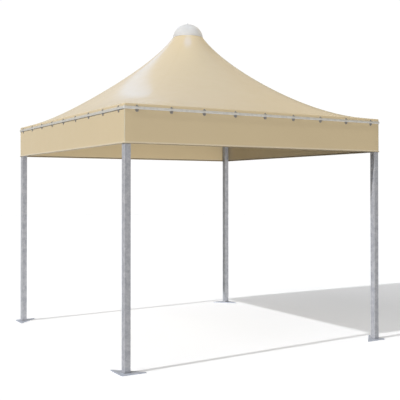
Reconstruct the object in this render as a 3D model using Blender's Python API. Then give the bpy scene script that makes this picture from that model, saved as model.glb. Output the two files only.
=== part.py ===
"""Garden gazebo, 3 x 3 m: four square steel posts and a cover drawn up to a domed peak.

Metres, +Z up. The origin is on the ground in the middle of the four posts, and the front is -Y.
Every side and every corner is the same, so one is made and turned about Z to the other three.
"""

import math

import bmesh
import bpy
from mathutils import Matrix, Vector

# Driving dimensions
GAP = 0.0003  # left between neighbouring solids
SIDE = 3.000  # over the cloth of the cover
HEADROOM = 2.000  # ground to the hem
COVER_EDGE = 2.355  # ground to the crease between roof and valance
CLOTH = 0.004  # the cloth is drawn this thick
ROOF_FLARE = 0.1486  # how strongly the roof sweeps up towards the peak
ROOF_RISE = 0.7504  # the even part of the roof's rise from edge to peak
HEM_RADIUS = 0.006  # cord inside the hem
POST = 0.060
POST_WALL = 0.003
POST_ROUNDING = 0.006
PLATE_THICKNESS = 0.008
PLATE_LEG = 0.240
PLATE_REACH = 0.050  # beyond the outer faces of the post
PLATE_TIP = 0.014  # width of the blunted tips
BEAM_WIDTH = 0.040
BEAM_HEIGHT = 0.080
BEAM_WALL = 0.002
BEAM_ROUNDING = 0.004
GUSSET_THICKNESS = 0.006
GUSSET_LEG = 0.120
ARM = 0.040
ARM_WALL = 0.002
HUB_SIDE = 0.200
HUB_THICKNESS = 0.006
MAST_LOWER_RADIUS = 0.025
MAST_UPPER_RADIUS = 0.019
MAST_WALL = 0.003
MAST_JOINT = 2.960  # top of the lower mast tube
MAST_OVERLAP = 0.200  # length of the upper tube inside the lower one
FLANGE_RADIUS = 0.055
FLANGE_THICKNESS = 0.008
COLLAR_RADIUS = 0.034
COLLAR_HEIGHT = 0.040
LUG_REACH = 0.060
LUG_WIDTH = 0.014
RING_TUBE_RADIUS = 0.012
RING_SEAT = 0.166  # radius where the roof touches the peak ring
BOSS_RADIUS = 0.030
BOSS_HEIGHT = 0.055
BOSS_TOP_WALL = 0.010
SPOKE_WIDTH = 0.016
SPOKE_HEIGHT = 0.012
ROOF_HOLE = 0.158  # radius of the roof's open middle, under the dome
DOME_RADIUS = 0.174  # at the rim
DOME_TOP = 3.498
DOME_WALL = 0.003
DOME_SEAT = 0.0012  # rim above the roof, which clears the roof's flat facets
DOME_HOLE = 0.005
STUD_RADIUS = 0.004
WASHER_RADIUS = 0.014
WASHER_THICKNESS = 0.0015
TIP_RADIUS = 0.0095
TIP_TOP = 3.508
RAIL_LEVEL = 2.316  # ground to the middle of the rail
RAIL_HEIGHT = 0.025
RAIL_THICKNESS = 0.003
RAIL_STANDOFF = 0.006  # from the cloth to the rail's inner face
CLIP_COUNT = 9
CLIP_PITCH = 0.345
CLIP_LOW_RADIUS = 0.018  # the wide ear under the rail
CLIP_HIGH_RADIUS = 0.009  # the narrow ear over it
CLIP_LOW = -0.033  # bottom of the clip, from the middle of the rail
CLIP_HIGH = 0.028
CLIP_THICKNESS = 0.0022
SADDLE_WIDTH = 0.026
SADDLE_WALL = 0.0025  # round the rail

# Sizes that follow from them
HALF = SIDE / 2
MITRE = GAP / math.sqrt(2)  # shift of each 45 degree cut that leaves GAP between two mitred ends
FRAME_HALF = HALF - CLOTH - GAP
FRAME_TOP = COVER_EDGE - CLOTH - GAP
POST_CENTRE = FRAME_HALF - POST / 2
POST_INNER = FRAME_HALF - POST - GAP
BEAM_BOTTOM = FRAME_TOP - BEAM_HEIGHT
PLATE_CORNER = FRAME_HALF + PLATE_REACH
HUB_TOP = BEAM_BOTTOM + ARM + GAP + HUB_THICKNESS
CLIP_BACK = HALF + GAP
RAIL_BACK = HALF + RAIL_STANDOFF
RAIL_FRONT = RAIL_BACK + RAIL_THICKNESS
SADDLE_FRONT = RAIL_FRONT + SADDLE_WALL

# Facets
PANEL_STEPS = 10  # across one roof panel
PANEL_RINGS = 14
ROUND_STEPS = 4 * PANEL_STEPS  # round the peak, so that the facets lie over each other
TUBE_SIDES = 24
RING_SIDES = 12  # in the section of the peak ring's tube
TUBE_ARC_STEPS = 3  # in a rounded corner of a square tube
DOME_ARC_STEPS = 8  # from the rim to the bolt hole
NUT_ARC_STEPS = 4
HEM_ARC_STEPS = 9
EAR_ARC_STEPS = 6
SMOOTH_ANGLE = math.radians(35)
SAME_POINT = 1e-6
RIM_ROUNDS = 12  # each round brings the dome's rim nearer to the roof

SIDES = (("front", 0), ("right", 90), ("back", 180), ("left", 270))
CORNERS = (("front_left", 0), ("front_right", 90), ("back_right", 180), ("back_left", 270))


def clear_scene():
    for obj in list(bpy.data.objects):
        bpy.data.objects.remove(obj, do_unlink=True)


def material(name, colour, roughness, metallic=0.0):
    made = bpy.data.materials.new(name)
    made.use_nodes = True
    shader = made.node_tree.nodes["Principled BSDF"]
    shader.inputs["Base Color"].default_value = (*colour, 1.0)
    shader.inputs["Roughness"].default_value = roughness
    shader.inputs["Metallic"].default_value = metallic
    made.diffuse_color = (*colour, 1.0)
    return made


def mesh_from(name, bm, smooth=False):
    bmesh.ops.recalc_face_normals(bm, faces=bm.faces)
    mesh = bpy.data.meshes.new(name)
    bm.to_mesh(mesh)
    bm.free()
    if smooth:
        mesh.shade_smooth()
        mesh.set_sharp_from_angle(angle=SMOOTH_ANGLE)
    return mesh


def add_object(name, mesh, finish, turn=0):
    """One named piece, turned by whole degrees about Z."""
    obj = bpy.data.objects.new(name, mesh)
    bpy.context.scene.collection.objects.link(obj)
    obj.rotation_euler.z = math.radians(turn)
    if not mesh.materials:
        mesh.materials.append(finish)
    return obj


def skin(bm, first, second):
    """Quads between two rings of the same number of vertices."""
    count = len(first)
    for i in range(count):
        j = (i + 1) % count
        bm.faces.new((first[i], first[j], second[j], second[i]))


def prism(bm, points, depth):
    """A flat outline of 3-D points, pulled out by the vector depth."""
    face = bm.faces.new([bm.verts.new(point) for point in points])
    pulled = bmesh.ops.extrude_face_region(bm, geom=[face])["geom"]
    moved = [item for item in pulled if isinstance(item, bmesh.types.BMVert)]
    bmesh.ops.translate(bm, verts=moved, vec=depth)


def plate(outline, bottom, thickness):
    """A flat plate from its outline in plan."""
    bm = bmesh.new()
    prism(bm, [(x, y, bottom) for x, y in outline], (0, 0, thickness))
    return bm


def circle(across, up, radius):
    """Points of a tube's section about (across, up)."""
    angles = [2 * math.pi * step / RING_SIDES for step in range(RING_SIDES)]
    return [(across + radius * math.cos(angle), up + radius * math.sin(angle)) for angle in angles]


def rounded_rectangle(width, height, radius):
    """Outline points of a rectangle with round corners, about its centre."""
    points = []
    for corner in range(4):
        start = corner * math.pi / 2
        across = 1 if corner in (0, 3) else -1
        up = 1 if corner in (0, 1) else -1
        for step in range(TUBE_ARC_STEPS + 1):
            angle = start + step / TUBE_ARC_STEPS * math.pi / 2
            x = across * (width / 2 - radius) + radius * math.cos(angle)
            y = up * (height / 2 - radius) + radius * math.sin(angle)
            points.append((x, y))
    return points


def square_tube(width, height, rounding, wall, length):
    """A tube along +Z, open at both ends."""
    bm = bmesh.new()
    rings = []
    for z in (0, length):
        for inset in (0, wall):
            radius = max(rounding - inset, wall / 2)
            outline = rounded_rectangle(width - 2 * inset, height - 2 * inset, radius)
            rings.append([bm.verts.new((x, y, z)) for x, y in outline])
    outer_low, inner_low, outer_high, inner_high = rings
    skin(bm, outer_low, outer_high)
    skin(bm, inner_low, inner_high)
    skin(bm, outer_low, inner_low)
    skin(bm, outer_high, inner_high)
    return bm


def turned(profile, steps, closed=True):
    """The profile of (radius, height) points turned once about Z. An open one starts and ends on Z."""
    bm = bmesh.new()
    verts = [bm.verts.new((radius, 0, height)) for radius, height in profile]
    pairs = list(zip(verts, verts[1:]))
    if closed:
        pairs.append((verts[-1], verts[0]))
    edges = [bm.edges.new(pair) for pair in pairs]
    bmesh.ops.spin(
        bm, geom=verts + edges, cent=(0, 0, 0), axis=(0, 0, 1), angle=2 * math.pi, steps=steps
    )
    bmesh.ops.remove_doubles(bm, verts=bm.verts, dist=SAME_POINT)
    return bm


def united(name, first, *others):
    """One mesh from shapes that overlap."""
    body = bpy.data.objects.new(name, mesh_from(name, first))
    bpy.context.scene.collection.objects.link(body)
    helpers = [body]
    for index, shape in enumerate(others):
        helper = bpy.data.objects.new(f"{name}_{index}", mesh_from(f"{name}_{index}", shape))
        bpy.context.scene.collection.objects.link(helper)
        helpers.append(helper)
        union = body.modifiers.new("Union", "BOOLEAN")
        union.operation = "UNION"
        union.solver = "EXACT"
        union.object = helper
    bpy.context.view_layer.update()
    graph = bpy.context.evaluated_depsgraph_get()
    mesh = bpy.data.meshes.new_from_object(body.evaluated_get(graph))
    for helper in helpers:
        bpy.data.objects.remove(helper, do_unlink=True)
    mesh.name = name
    mesh.shade_smooth()
    mesh.set_sharp_from_angle(angle=SMOOTH_ANGLE)
    return mesh


def add_four(places, suffix, mesh, finish):
    """The same mesh on all four sides, or at all four corners."""
    for place, turn in places:
        add_object(f"{place}_{suffix}", mesh, finish, turn)


# Posts and base plates


def post_mesh():
    bm = square_tube(POST, POST, POST_ROUNDING, POST_WALL, FRAME_TOP - PLATE_THICKNESS - GAP)
    middle = Matrix.Translation((-POST_CENTRE, -POST_CENTRE, PLATE_THICKNESS + GAP))
    bmesh.ops.transform(bm, matrix=middle, verts=bm.verts)
    return mesh_from("post", bm, smooth=True)


def base_plate_mesh():
    """A triangle with its square corner outwards and its two tips blunted."""
    corner = -PLATE_CORNER
    end = corner + PLATE_LEG
    tip = corner + PLATE_TIP
    outline = [(corner, corner), (end, corner), (end, tip), (tip, end), (corner, end)]
    return mesh_from("base_plate", plate(outline, 0, PLATE_THICKNESS))


# Frame under the edge of the cover


def beam_mesh():
    """The front beam, between the two front posts and flush with their outer faces and tops."""
    bm = square_tube(BEAM_HEIGHT, BEAM_WIDTH, BEAM_ROUNDING, BEAM_WALL, 2 * POST_INNER)
    lie_along_x = Matrix.Rotation(math.pi / 2, 4, "Y")
    centre = Vector((-POST_INNER, BEAM_WIDTH / 2 - FRAME_HALF, BEAM_BOTTOM + BEAM_HEIGHT / 2))
    bmesh.ops.transform(bm, matrix=Matrix.Translation(centre) @ lie_along_x, verts=bm.verts)
    return mesh_from("beam", bm)


def gusset_mesh():
    """A flat plate under two beams and an arm, notched round the post."""
    inner = -POST_INNER
    outer = -FRAME_HALF
    end = inner + GUSSET_LEG
    outline = [(inner, inner), (inner, outer), (end, outer), (outer, end), (outer, inner)]
    bottom = BEAM_BOTTOM - GAP - GUSSET_THICKNESS
    return mesh_from("gusset", plate(outline, bottom, GUSSET_THICKNESS))


def arm_mesh():
    """A diagonal tube from the hub to the inner corner of the front left post."""
    start = ARM / 2 + 2 * GAP
    end = (POST_INNER - GAP) * math.sqrt(2)
    bm = square_tube(ARM, ARM, BEAM_ROUNDING, ARM_WALL, end - start)
    lie_along_x = Matrix.Rotation(math.pi / 2, 4, "Y")
    from_hub = Matrix.Translation((start, 0, BEAM_BOTTOM + ARM / 2))
    to_corner = Matrix.Rotation(math.radians(225), 4, "Z")
    bmesh.ops.transform(bm, matrix=to_corner @ from_hub @ lie_along_x, verts=bm.verts)
    return mesh_from("arm", bm)


def hub_plate_mesh(bottom):
    half = HUB_SIDE / 2
    outline = [(-half, -half), (half, -half), (half, half), (-half, half)]
    return mesh_from("hub_plate", plate(outline, bottom, HUB_THICKNESS))


# Mast, peak ring and dome


def roof_height(x, y):
    """Height of the roof's upper face: square at the edge, round at the peak."""
    squareness = (1 - (x / HALF) ** 2) * (1 - (y / HALF) ** 2)
    reach = math.sqrt(1 - squareness)
    return COVER_EDGE - ROOF_FLARE * math.log(reach) + ROOF_RISE * (1 - reach)


def ring_centre():
    """(radius, height) of the middle of the peak ring's tube, so that it lies under the roof."""
    step = 0.001
    slope = (roof_height(RING_SEAT, 0) - roof_height(RING_SEAT + step, 0)) / step
    steepness = math.atan(slope)
    clear = RING_TUBE_RADIUS + GAP
    radius = RING_SEAT - clear * math.sin(steepness)
    height = roof_height(RING_SEAT, 0) - CLOTH - clear * math.cos(steepness)
    return radius, height


def boss_bottom():
    return ring_centre()[1] + SPOKE_HEIGHT / 2 - BOSS_HEIGHT


def mast_lower_mesh():
    """A round tube with a bolting flange at its foot."""
    foot = HUB_TOP + GAP
    inner = MAST_LOWER_RADIUS - MAST_WALL
    profile = [
        (inner, foot),
        (FLANGE_RADIUS, foot),
        (FLANGE_RADIUS, foot + FLANGE_THICKNESS),
        (MAST_LOWER_RADIUS, foot + FLANGE_THICKNESS),
        (MAST_LOWER_RADIUS, MAST_JOINT),
        (inner, MAST_JOINT),
    ]
    return mesh_from("mast_lower", turned(profile, TUBE_SIDES), smooth=True)


def mast_upper_mesh():
    """A thinner tube that slides in the lower one and lifts the peak ring."""
    low = MAST_JOINT - MAST_OVERLAP
    high = boss_bottom() + BOSS_HEIGHT - BOSS_TOP_WALL - GAP
    inner = MAST_UPPER_RADIUS - MAST_WALL
    profile = [(inner, low), (MAST_UPPER_RADIUS, low), (MAST_UPPER_RADIUS, high), (inner, high)]
    return mesh_from("mast_upper", turned(profile, TUBE_SIDES), smooth=True)


def collar_mesh():
    """The tensioning nut on top of the lower tube, with two lugs to turn it by."""
    low = MAST_JOINT + GAP
    high = low + COLLAR_HEIGHT
    inner = MAST_UPPER_RADIUS + GAP
    nut = turned([(inner, low), (COLLAR_RADIUS, low), (COLLAR_RADIUS, high), (inner, high)], TUBE_SIDES)
    lugs = bmesh.new()
    root = (inner + COLLAR_RADIUS) / 2
    half = LUG_WIDTH / 2
    middle = (low + high) / 2
    for side in (-1, 1):
        outline = [
            (side * root, -half, middle - half),
            (side * root, half, middle - half),
            (side * root, half, middle + half),
            (side * root, -half, middle + half),
        ]
        prism(lugs, outline, (side * (LUG_REACH - root), 0, 0))
    return united("mast_collar", nut, lugs)


def peak_ring_mesh():
    """A round tube ring under the top of the roof, four spokes, and the boss that the mast lifts."""
    radius, height = ring_centre()
    low = boss_bottom()
    high = low + BOSS_HEIGHT
    bore = MAST_UPPER_RADIUS + GAP
    boss_profile = [
        (0, high),
        (BOSS_RADIUS, high),
        (BOSS_RADIUS, low),
        (bore, low),
        (bore, high - BOSS_TOP_WALL),
        (0, high - BOSS_TOP_WALL),
    ]
    spokes = bmesh.new()
    root = (BOSS_RADIUS + bore) / 2
    half = SPOKE_WIDTH / 2
    bottom = height - SPOKE_HEIGHT / 2 - GAP
    for turn in range(4):
        outline = [
            (root, -half, bottom),
            (root, half, bottom),
            (root, half, bottom + SPOKE_HEIGHT),
            (root, -half, bottom + SPOKE_HEIGHT),
        ]
        corners = [Matrix.Rotation(turn * math.pi / 2, 3, "Z") @ Vector(point) for point in outline]
        outwards = Matrix.Rotation(turn * math.pi / 2, 3, "Z") @ Vector((radius - root, 0, 0))
        prism(spokes, corners, outwards)
    boss = turned(boss_profile, TUBE_SIDES, closed=False)
    tube = turned(circle(radius, height, RING_TUBE_RADIUS), ROUND_STEPS)
    return united("peak_ring", tube, boss, spokes)


def dome_mesh():
    """A thin cap of a sphere, open below, its rim cut to lie along the roof, with a bolt hole on top."""
    rim_outer = roof_height(DOME_RADIUS, 0) + DOME_SEAT
    rise = DOME_TOP - rim_outer
    sphere = (DOME_RADIUS**2 + rise**2) / (2 * rise)
    centre = DOME_TOP - sphere
    outer = cap_arc(sphere, centre)
    inner = cap_arc(sphere - DOME_WALL, centre)
    return mesh_from("dome", turned(outer + inner[::-1], ROUND_STEPS), smooth=True)


def cap_arc(radius, centre):
    """(radius, height) points of a sphere, from where it meets the roof up to the bolt hole."""
    rim_radius = DOME_RADIUS
    for _ in range(RIM_ROUNDS):
        rim = roof_height(rim_radius, 0) + DOME_SEAT
        rim_radius = math.sqrt(radius**2 - (rim - centre) ** 2)
    start = math.atan2(rim - centre, rim_radius)
    end = math.acos(DOME_HOLE / radius)
    arc = []
    for step in range(DOME_ARC_STEPS + 1):
        angle = start + (end - start) * step / DOME_ARC_STEPS
        arc.append((radius * math.cos(angle), centre + radius * math.sin(angle)))
    return arc


def dome_bolt_mesh():
    """A stud up from the boss, with a washer and a round nut on the dome."""
    foot = boss_bottom() + BOSS_HEIGHT + GAP
    seat = DOME_TOP + GAP
    profile = [(0, foot), (STUD_RADIUS, foot), (STUD_RADIUS, seat), (WASHER_RADIUS, seat)]
    shoulder = seat + WASHER_THICKNESS
    profile.append((WASHER_RADIUS, shoulder))
    for step in range(NUT_ARC_STEPS):
        angle = step / NUT_ARC_STEPS * math.pi / 2
        height = shoulder + (TIP_TOP - shoulder) * math.sin(angle)
        profile.append((TIP_RADIUS * math.cos(angle), height))
    profile.append((0, TIP_TOP))
    return mesh_from("dome_bolt", turned(profile, TUBE_SIDES // 2, closed=False), smooth=True)


# Cover


def roof_panel_mesh():
    """The front quarter of the roof, between two hips, from the edge up to the open middle."""
    bm = bmesh.new()
    rows = []
    for ring in range(PANEL_RINGS + 1):
        row = []
        for step in range(PANEL_STEPS + 1):
            angle = math.radians(-45 + 90 * step / PANEL_STEPS)
            edge = (HALF - MITRE) / math.cos(angle)
            start = ROOF_HOLE - MITRE
            away = start * (edge / start) ** (ring / PANEL_RINGS)
            x = away * math.sin(angle)
            y = -MITRE - away * math.cos(angle)
            row.append(bm.verts.new((x, y, roof_height(x, y))))
        rows.append(row)
    for near, far in zip(rows, rows[1:]):
        for step in range(PANEL_STEPS):
            bm.faces.new((near[step], near[step + 1], far[step + 1], far[step]))
    top = list(bm.faces)
    pulled = bmesh.ops.extrude_face_region(bm, geom=top)["geom"]
    moved = [item for item in pulled if isinstance(item, bmesh.types.BMVert)]
    bmesh.ops.translate(bm, verts=moved, vec=(0, 0, -CLOTH))
    return mesh_from("roof_panel", bm, smooth=True)


def run_along_front(outline):
    """A bar parallel to the front, its ends mitred. Outline points are (distance from Z, height)."""
    bm = bmesh.new()
    ends = []
    for end in (-1, 1):
        ends.append([bm.verts.new((end * (out - MITRE), -out, height)) for out, height in outline])
    skin(bm, *ends)
    for ring in ends:
        bm.faces.new(ring)
    return bm


def valance_mesh():
    """The straight border of the cover, with a cord in its hem and its ends mitred."""
    inner = HALF - CLOTH
    cord = inner + HEM_RADIUS
    middle = HEADROOM + HEM_RADIUS
    outline = [(HALF, FRAME_TOP), (inner, FRAME_TOP)]
    top_angle = 2 * math.pi + math.acos((HALF - cord) / HEM_RADIUS)
    for step in range(HEM_ARC_STEPS + 1):
        angle = math.pi + (top_angle - math.pi) * step / HEM_ARC_STEPS
        outline.append((cord + HEM_RADIUS * math.cos(angle), middle + HEM_RADIUS * math.sin(angle)))
    return mesh_from("valance", run_along_front(outline))


def rail_mesh():
    """The front rail, a flat bar that stands off the cloth, with the clips that hold it to the beam."""
    low = RAIL_LEVEL - RAIL_HEIGHT / 2
    high = RAIL_LEVEL + RAIL_HEIGHT / 2
    bar = run_along_front([(RAIL_BACK, low), (RAIL_FRONT, low), (RAIL_FRONT, high), (RAIL_BACK, high)])
    plates = bmesh.new()
    saddles = bmesh.new()
    for index in range(CLIP_COUNT):
        middle = (index - (CLIP_COUNT - 1) / 2) * CLIP_PITCH
        add_clip_plate(plates, middle)
        add_saddle(saddles, middle)
    return united("rail", bar, plates, saddles)


def add_clip_plate(bm, middle):
    """A flat plate against the cloth, with a wide round ear below the rail and a narrow one above it."""
    low = CLIP_LOW + CLIP_LOW_RADIUS
    high = CLIP_HIGH - CLIP_HIGH_RADIUS
    lean = math.asin((CLIP_LOW_RADIUS - CLIP_HIGH_RADIUS) / (high - low))
    outline = []
    for centre, radius, start, end in (
        (high, CLIP_HIGH_RADIUS, lean, math.pi - lean),
        (low, CLIP_LOW_RADIUS, math.pi - lean, 2 * math.pi + lean),
    ):
        for step in range(EAR_ARC_STEPS + 1):
            angle = start + (end - start) * step / EAR_ARC_STEPS
            x = middle + radius * math.cos(angle)
            z = RAIL_LEVEL + centre + radius * math.sin(angle)
            outline.append((x, -CLIP_BACK, z))
    prism(bm, outline, (0, -CLIP_THICKNESS, 0))


def add_saddle(bm, middle):
    """The block on the clip plate that the rail passes through."""
    root = CLIP_BACK + CLIP_THICKNESS / 2
    half = SADDLE_WIDTH / 2
    rise = RAIL_HEIGHT / 2 + SADDLE_WALL
    outline = [
        (middle - half, -root, RAIL_LEVEL - rise),
        (middle + half, -root, RAIL_LEVEL - rise),
        (middle + half, -root, RAIL_LEVEL + rise),
        (middle - half, -root, RAIL_LEVEL + rise),
    ]
    prism(bm, outline, (0, root - SADDLE_FRONT, 0))


def build():
    clear_scene()
    galvanised = material("galvanised_steel", (0.46, 0.47, 0.49), 0.42, 0.85)
    plate_steel = material("galvanised_plate", (0.43, 0.44, 0.46), 0.45, 0.85)
    beam_steel = material("beam_steel", (0.44, 0.45, 0.47), 0.45, 0.85)
    rail_steel = material("rail_steel", (0.60, 0.61, 0.62), 0.34, 0.90)
    hardware = material("zinc_hardware", (0.55, 0.56, 0.58), 0.32, 0.95)
    roof_cloth = material("roof_cloth", (0.72, 0.62, 0.44), 0.55)
    valance_cloth = material("valance_cloth", (0.68, 0.58, 0.41), 0.58)
    opal = material("opal_plastic", (0.80, 0.79, 0.76), 0.35)

    add_four(CORNERS, "post", post_mesh(), galvanised)
    add_four(CORNERS, "base_plate", base_plate_mesh(), plate_steel)
    add_four(SIDES, "beam", beam_mesh(), beam_steel)
    add_four(CORNERS, "gusset", gusset_mesh(), plate_steel)
    add_four(CORNERS, "arm", arm_mesh(), beam_steel)
    lower_hub = BEAM_BOTTOM - GAP - HUB_THICKNESS
    add_object("hub_plate_lower", hub_plate_mesh(lower_hub), plate_steel)
    add_object("hub_plate_upper", hub_plate_mesh(HUB_TOP - HUB_THICKNESS), plate_steel)
    add_object("mast_lower", mast_lower_mesh(), galvanised)
    add_object("mast_collar", collar_mesh(), hardware)
    add_object("mast_upper", mast_upper_mesh(), galvanised)
    add_object("peak_ring", peak_ring_mesh(), galvanised)
    add_four(SIDES, "roof_panel", roof_panel_mesh(), roof_cloth)
    add_four(SIDES, "valance", valance_mesh(), valance_cloth)
    add_four(SIDES, "rail", rail_mesh(), rail_steel)
    add_object("dome_cap", dome_mesh(), opal)
    add_object("dome_bolt", dome_bolt_mesh(), hardware)


build()
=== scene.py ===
import bmesh
import bpy
import math
from mathutils import Matrix, Vector


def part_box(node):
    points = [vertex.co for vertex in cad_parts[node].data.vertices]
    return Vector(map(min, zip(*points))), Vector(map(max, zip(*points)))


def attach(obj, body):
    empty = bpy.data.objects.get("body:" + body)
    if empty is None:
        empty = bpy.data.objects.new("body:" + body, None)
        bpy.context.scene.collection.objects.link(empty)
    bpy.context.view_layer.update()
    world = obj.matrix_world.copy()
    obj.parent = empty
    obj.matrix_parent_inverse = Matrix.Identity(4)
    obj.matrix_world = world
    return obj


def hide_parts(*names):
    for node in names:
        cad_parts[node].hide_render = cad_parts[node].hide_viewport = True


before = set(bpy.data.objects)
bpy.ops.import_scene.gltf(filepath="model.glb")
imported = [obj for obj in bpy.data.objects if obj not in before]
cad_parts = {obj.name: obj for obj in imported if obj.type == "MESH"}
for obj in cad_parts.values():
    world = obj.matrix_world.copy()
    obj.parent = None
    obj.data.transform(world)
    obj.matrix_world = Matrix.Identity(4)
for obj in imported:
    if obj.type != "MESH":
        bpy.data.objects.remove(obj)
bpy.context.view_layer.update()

# Base plates
# Each post stands on a flame-cut steel plate, a triangle with its square corner outwards and all
# three corners blunted. The plate was hot-dip galvanised together with its post, which left the cut
# edges slightly rounded and a cloudy zinc bloom on the faces.

CORNERS = {"front_left": 0, "front_right": 90, "back_right": 180, "back_left": 270}
PLATE_TIP = 0.014
PLATE_CORNER = 0.018
ARC_MIDDLE = 0.29  # how far in the middle of a rounded corner lies, as a share of its radius
PLATE_ROUNDING = 0.004
PLATE_EDGE = 0.0009
PATCH_SHARE = 0.55
CRYSTAL_SHARE = 0.45
GRAIN_SHARE = 0.4
RUBBED_TONE = 0.35
RUBBED_GLOSS = 0.08


def add(tree, kind, settings=None, **inputs):
    """A node with its settings, and its inputs set or linked by name."""
    made = tree.nodes.new(kind)
    for key, value in (settings or {}).items():
        setattr(made, key, value)
    for key, value in inputs.items():
        feed(tree, made.inputs[key.replace("_", " ")], value)
    return made


def feed(tree, socket, value):
    if isinstance(value, bpy.types.NodeSocket):
        tree.links.new(value, socket)
    else:
        socket.default_value = value


def linear(red, green, blue):
    """A shader colour from 0 to 255 values as a screen shows them."""
    parts = [value / 255 for value in (red, green, blue)]
    return tuple(v / 12.92 if v <= 0.04045 else ((v + 0.055) / 1.055) ** 2.4 for v in parts) + (1,)


def blended(tree, factor, *pair):
    """A colour between two others: linked, a shader's, or three numbers as a screen shows them."""
    mix = tree.nodes.new("ShaderNodeMix")
    mix.data_type = "RGBA"
    feed(tree, mix.inputs[0], factor)
    for socket, colour in zip((mix.inputs[6], mix.inputs[7]), pair):
        on_screen = isinstance(colour, tuple) and len(colour) == 3
        feed(tree, socket, linear(*colour) if on_screen else colour)
    return mix.outputs[2]


def ranged(tree, value, start, end, low=0, high=1):
    """A number that goes from low to high as value goes from start to end."""
    span = add(tree, "ShaderNodeMapRange", Value=value, From_Min=start, From_Max=end)
    span.inputs["To Min"].default_value = low
    span.inputs["To Max"].default_value = high
    return span.outputs["Result"]


def times(tree, first, second):
    return calculated(tree, "MULTIPLY", first, second)


def calculated(tree, operation, *values):
    """The result of one sum on two or three numbers."""
    result = tree.nodes.new("ShaderNodeMath")
    result.operation = operation
    for socket, value in zip(result.inputs, values):
        feed(tree, socket, value)
    return result.outputs[0]


def finish(name, metallic, **sockets):
    """A material, its node tree and its shader, with the constant values set on the shader."""
    made = bpy.data.materials.new(name)
    made.use_nodes = True
    shader = made.node_tree.nodes["Principled BSDF"]
    shader.inputs["Metallic"].default_value = metallic
    for key, value in sockets.items():
        shader.inputs[key.replace("_", " ")].default_value = value
    return made, made.node_tree, shader


def noise(tree, place, scale, detail, **settings):
    cloud = add(tree, "ShaderNodeTexNoise", Vector=place, Scale=scale, Detail=detail, **settings)
    return cloud.outputs["Fac"]


def relief(tree, height, strength, distance, under=None):
    """Small bumps, on top of those under them."""
    bump = add(tree, "ShaderNodeBump", Strength=strength, Distance=distance, Height=height)
    if under is not None:
        feed(tree, bump.inputs["Normal"], under)
    return bump.outputs["Normal"]


def dress(tree, shader, tone, rough, normal):
    """Gives the shader its colour, its roughness and its relief."""
    for socket, value in (("Base Color", tone), ("Roughness", rough), ("Normal", normal)):
        feed(tree, shader.inputs[socket], value)


def galvanised(name, bright, dull, metallic, cloud_scale, spangle_scale):
    """Hot-dip zinc: cloudy patches, angular crystals of spangle, and fine roughness between them."""
    made, tree, shader = finish(name, metallic)
    place = add(tree, "ShaderNodeTexCoord").outputs["Object"]
    cloud = noise(tree, place, cloud_scale, 3, Roughness=0.6)
    patches = times(tree, ranged(tree, cloud, 0.36, 0.64), PATCH_SHARE)
    spangle = add(tree, "ShaderNodeTexVoronoi", Vector=place, Scale=spangle_scale)
    crystal = ranged(tree, spangle.outputs["Color"], 0, 1)
    both = calculated(tree, "MULTIPLY_ADD", crystal, CRYSTAL_SHARE, patches)
    wear = add(tree, "ShaderNodeAttribute", {"attribute_name": "edge"}).outputs["Fac"]
    rubbed = times(tree, wear, RUBBED_TONE)
    tone = blended(tree, rubbed, blended(tree, both, dull, bright), (206, 207, 208))
    polish = times(tree, wear, RUBBED_GLOSS)
    rough = calculated(tree, "SUBTRACT", ranged(tree, both, 0, 1, 0.58, 0.42), polish)
    grain = noise(tree, place, spangle_scale * 9, 2)
    height = calculated(tree, "MULTIPLY_ADD", grain, GRAIN_SHARE, crystal)
    dress(tree, shader, tone, rough, relief(tree, height, 0.35, 0.0002))
    return made


def placed(name, bm, material, smooth_angle=None):
    """An object at the origin from a mesh in progress, with its faces turned outwards."""
    bmesh.ops.recalc_face_normals(bm, faces=bm.faces)
    mesh = bpy.data.meshes.new(name)
    bm.to_mesh(mesh)
    bm.free()
    mesh.materials.append(material)
    if smooth_angle is not None:
        mesh.shade_smooth()
        mesh.set_sharp_from_angle(angle=math.radians(smooth_angle))
    obj = bpy.data.objects.new(name, mesh)
    bpy.context.scene.collection.objects.link(obj)
    return obj


def piece(name, bm, material, slot, *nodes, smooth_angle=None):
    """A piece of the gazebo, riding on its one body in place of the nodes."""
    obj = placed(name, bm, material, smooth_angle)
    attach(obj, "root")
    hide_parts(*nodes)
    return obj


def turn_about_z(bm, degrees):
    spin = Matrix.Rotation(math.radians(degrees), 3, "Z")
    bmesh.ops.rotate(bm, verts=bm.verts, cent=(0, 0, 0), matrix=spin)


def all_round(places, name, node, bm, material, slot, smooth_angle=None):
    """A piece at every place round the gazebo, from the mesh of the first one."""
    for place, turn in places.items():
        copy = bm.copy()
        turn_about_z(copy, turn)
        piece(f"{place}_{name}", copy, material, slot, f"{place}_{node}", smooth_angle=smooth_angle)
    bm.free()


def flat_plate(outline, bottom, thickness, rounding, edge):
    """A plate from its outline in plan, with rounded corners and broken edges."""
    bm = bmesh.new()
    face = bm.faces.new([bm.verts.new((x, y, bottom)) for x, y in outline])
    pulled = bmesh.ops.extrude_face_region(bm, geom=[face])["geom"]
    top = [item for item in pulled if isinstance(item, bmesh.types.BMVert)]
    bmesh.ops.translate(bm, verts=top, vec=(0, 0, thickness))
    upright = [e for e in bm.edges if abs(e.verts[0].co.z - e.verts[1].co.z) > thickness / 2]
    bmesh.ops.bevel(bm, geom=upright, offset=rounding, segments=4, profile=0.5, affect="EDGES")
    rims = [e for e in bm.edges if abs(e.verts[0].co.z - e.verts[1].co.z) < thickness / 2]
    bmesh.ops.bevel(bm, geom=rims, offset=edge, segments=2, profile=0.5, affect="EDGES")
    return bm


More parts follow.
